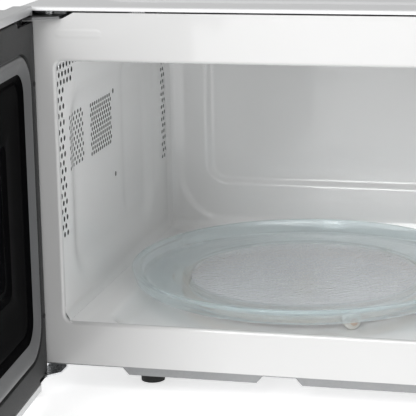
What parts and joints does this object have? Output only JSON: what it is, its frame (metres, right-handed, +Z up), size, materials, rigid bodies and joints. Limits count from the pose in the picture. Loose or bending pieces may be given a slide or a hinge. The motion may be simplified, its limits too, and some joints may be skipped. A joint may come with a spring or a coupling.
{
  "type": "microwave oven",
  "caption": "Countertop microwave oven with a left-hinged door standing open, a glass turntable in a white enamelled cavity, and a control panel with keys and a dial.",
  "frame": {"origin": "middle of the four feet, on the surface that the oven stands on", "axes": "+X to the right as seen from the front, +Y to the back, +Z up; the door's plane when it is closed faces -Y"},
  "size_m": [0.5086, 0.7072, 0.2795],
  "materials": {
    "cabinet_paint": "satin silver paint",
    "flange_enamel": "gloss white enamel",
    "cavity_enamel": "gloss white enamel",
    "zinc_sheet": "zinc coated",
    "rear_sheet": "satin silver paint",
    "black_rubber": "matte",
    "gland_rubber": "matte",
    "mica": "mica sheet",
    "zinc_guide": "zinc coated",
    "magnetron_steel": "zinc coated",
    "fin_aluminium": "bare",
    "core_steel": "varnished laminations",
    "copper_wire": "enamelled copper wire",
    "can_aluminium": "bare",
    "diode_black": "matte",
    "board_green": "circuit board",
    "shroud_plastic": "matte",
    "motor_steel": "laminated steel",
    "fan_plastic": "matte",
    "motor_can": "zinc coated",
    "shaft_nylon": "nylon",
    "coupler_nylon": "heat-proof nylon",
    "plate_glass": "clear, textured in the middle",
    "ring_plastic": "heat-proof plastic",
    "roller_plastic": "heat-proof plastic",
    "lamp_glass": "clear",
    "socket_ceramic": "ceramic",
    "cutout_black": "phenolic",
    "panel_silver": "silver paint",
    "display_black": "tinted gloss",
    "encoder_black": "matte",
    "knob_silver": "silver paint",
    "key_grey": "silver paint",
    "button_silver": "silver paint",
    "lever_nylon": "nylon",
    "bracket_white": "matte",
    "switch_black": "matte",
    "hinge_steel": "zinc coated",
    "door_silver": "silver paint",
    "door_glass": "dark tinted",
    "screen_black": "black enamel",
    "cover_grey": "fine texture",
    "window_black": "gloss",
    "latch_white": "acetal",
    "spring_steel": "bare",
    "screw_steel": "zinc coated"
  },
  "bodies": {
    "cabinet": {"outer_cabinet": "cabinet_paint", "front_flange": "flange_enamel", "cavity_left_wall": "cavity_enamel", "cavity_right_wall": "cavity_enamel", "cavity_ceiling": "cavity_enamel", "cavity_back_wall": "cavity_enamel", "cavity_floor": "cavity_enamel", "base_plate": "zinc_sheet", "rear_panel": "rear_sheet", "feet": "black_rubber", "cord_gland": "gland_rubber", "waveguide_cover": "mica", "waveguide": "zinc_guide", "magnetron": "magnetron_steel", "magnetron_fins": "fin_aluminium", "transformer_core": "core_steel", "transformer_coils": "copper_wire", "hv_capacitor": "can_aluminium", "hv_diode": "diode_black", "filter_board": "board_green", "fan_shroud": "shroud_plastic", "fan_motor": "motor_steel", "turntable_motor": "motor_can", "oven_lamp": "lamp_glass", "lamp_socket": "socket_ceramic", "thermal_cutouts": "cutout_black", "control_panel": "panel_silver", "display_window": "display_black", "control_board": "board_green", "dial_encoder": "encoder_black", "latch_bracket": "bracket_white", "door_switches": "switch_black", "top_hinge": "hinge_steel", "bottom_hinge": "hinge_steel", "screws": "screw_steel"},
    "door": {"door_frame": "door_silver", "door_glass": "door_glass", "door_screen": "screen_black", "choke_cover": "cover_grey", "inner_window": "window_black", "latch_spring": "spring_steel", "door_buffers": "black_rubber"},
    "latch": {"latch_hooks": "latch_white"},
    "coupler": {"drive_shaft": "shaft_nylon", "turntable_coupler": "coupler_nylon"},
    "plate": {"glass_plate": "plate_glass"},
    "ring": {"roller_ring": "ring_plastic"},
    "roller_a": {"roller_a": "roller_plastic"},
    "roller_b": {"roller_b": "roller_plastic"},
    "roller_c": {"roller_c": "roller_plastic"},
    "fan": {"fan_blade": "fan_plastic"},
    "dial": {"dial_knob": "knob_silver"},
    "release": {"release_button": "button_silver"},
    "lever": {"release_lever": "lever_nylon"},
    "key_1": {"key_1": "key_grey"},
    "key_2": {"key_2": "key_grey"},
    "key_3": {"key_3": "key_grey"},
    "key_4": {"key_4": "key_grey"},
    "key_5": {"key_5": "key_grey"},
    "key_6": {"key_6": "key_grey"}
  },
  "joints": [
    {"name": "door_hinge", "type": "hinge", "parent": "cabinet", "child": "door", "pos_m": [-0.2358, -0.1876, 0.14], "axis": [0, 0, -1], "range_deg": [-86, 14]},
    {"name": "latch_lift", "type": "slide", "parent": "door", "child": "latch", "axis": [0, 0, 1], "range_m": [0, 0.005], "stiffness_N_per_m": 250, "springref_m": -0.004, "deforming": ["latch_spring"]},
    {"name": "coupler_spin", "type": "hinge", "parent": "cabinet", "child": "coupler", "pos_m": [-0.0675, -0.034, 0.04], "axis": [0, 0, 1], "continuous": true},
    {"name": "plate_lift", "type": "slide", "parent": "coupler", "child": "plate", "axis": [0, 0, 1], "range_m": [0, 0.06]},
    {"name": "ring_spin", "type": "hinge", "parent": "cabinet", "child": "ring", "pos_m": [-0.0675, -0.034, 0.0457], "axis": [0, 0, 1], "continuous": true},
    {"name": "roller_a_spin", "type": "hinge", "parent": "ring", "child": "roller_a", "pos_m": [-0.01715, -0.12121, 0.0457], "axis": [0.5, -0.866, 0], "continuous": true},
    {"name": "roller_b_spin", "type": "hinge", "parent": "ring", "child": "roller_b", "pos_m": [-0.01715, 0.05321, 0.0457], "axis": [0.5, 0.866, 0], "continuous": true},
    {"name": "roller_c_spin", "type": "hinge", "parent": "ring", "child": "roller_c", "pos_m": [-0.1682, -0.034, 0.0457], "axis": [-1, 0, 0], "continuous": true},
    {"name": "fan_spin", "type": "hinge", "parent": "cabinet", "child": "fan", "pos_m": [0.168, 0.13, 0.146], "axis": [0, 1, 0], "continuous": true},
    {"name": "dial_turn", "type": "hinge", "parent": "cabinet", "child": "dial", "pos_m": [0.17275, -0.22, 0.106], "axis": [0, -1, 0], "continuous": true},
    {"name": "key_1_press", "type": "slide", "parent": "cabinet", "child": "key_1", "axis": [0, 1, 0], "range_m": [0, 0.0015], "stiffness_N_per_m": 400, "springref_m": -0.001},
    {"name": "key_2_press", "type": "slide", "parent": "cabinet", "child": "key_2", "axis": [0, 1, 0], "range_m": [0, 0.0015], "stiffness_N_per_m": 400, "springref_m": -0.001},
    {"name": "key_3_press", "type": "slide", "parent": "cabinet", "child": "key_3", "axis": [0, 1, 0], "range_m": [0, 0.0015], "stiffness_N_per_m": 400, "springref_m": -0.001},
    {"name": "key_4_press", "type": "slide", "parent": "cabinet", "child": "key_4", "axis": [0, 1, 0], "range_m": [0, 0.0015], "stiffness_N_per_m": 400, "springref_m": -0.001},
    {"name": "key_5_press", "type": "slide", "parent": "cabinet", "child": "key_5", "axis": [0, 1, 0], "range_m": [0, 0.0015], "stiffness_N_per_m": 400, "springref_m": -0.001},
    {"name": "key_6_press", "type": "slide", "parent": "cabinet", "child": "key_6", "axis": [0, 1, 0], "range_m": [0, 0.0015], "stiffness_N_per_m": 400, "springref_m": -0.001},
    {"name": "release_press", "type": "slide", "parent": "cabinet", "child": "release", "axis": [0, 1, 0], "range_m": [0, 0.006], "stiffness_N_per_m": 300, "springref_m": -0.003},
    {"name": "lever_turn", "type": "hinge", "parent": "cabinet", "child": "lever", "pos_m": [0.108, -0.172, 0.068], "axis": [1, 0, 0], "range_deg": [0, 18]}
  ],
  "couplings": [
    {"joint": "ring_spin", "follows": "coupler_spin", "ratio": 0.5},
    {"joint": "roller_a_spin", "follows": "coupler_spin", "ratio": -7.6288},
    {"joint": "roller_b_spin", "follows": "coupler_spin", "ratio": -7.6288},
    {"joint": "roller_c_spin", "follows": "coupler_spin", "ratio": -7.6288},
    {"joint": "lever_turn", "follows": "release_press", "rad_per_m": 51.8}
  ]
}
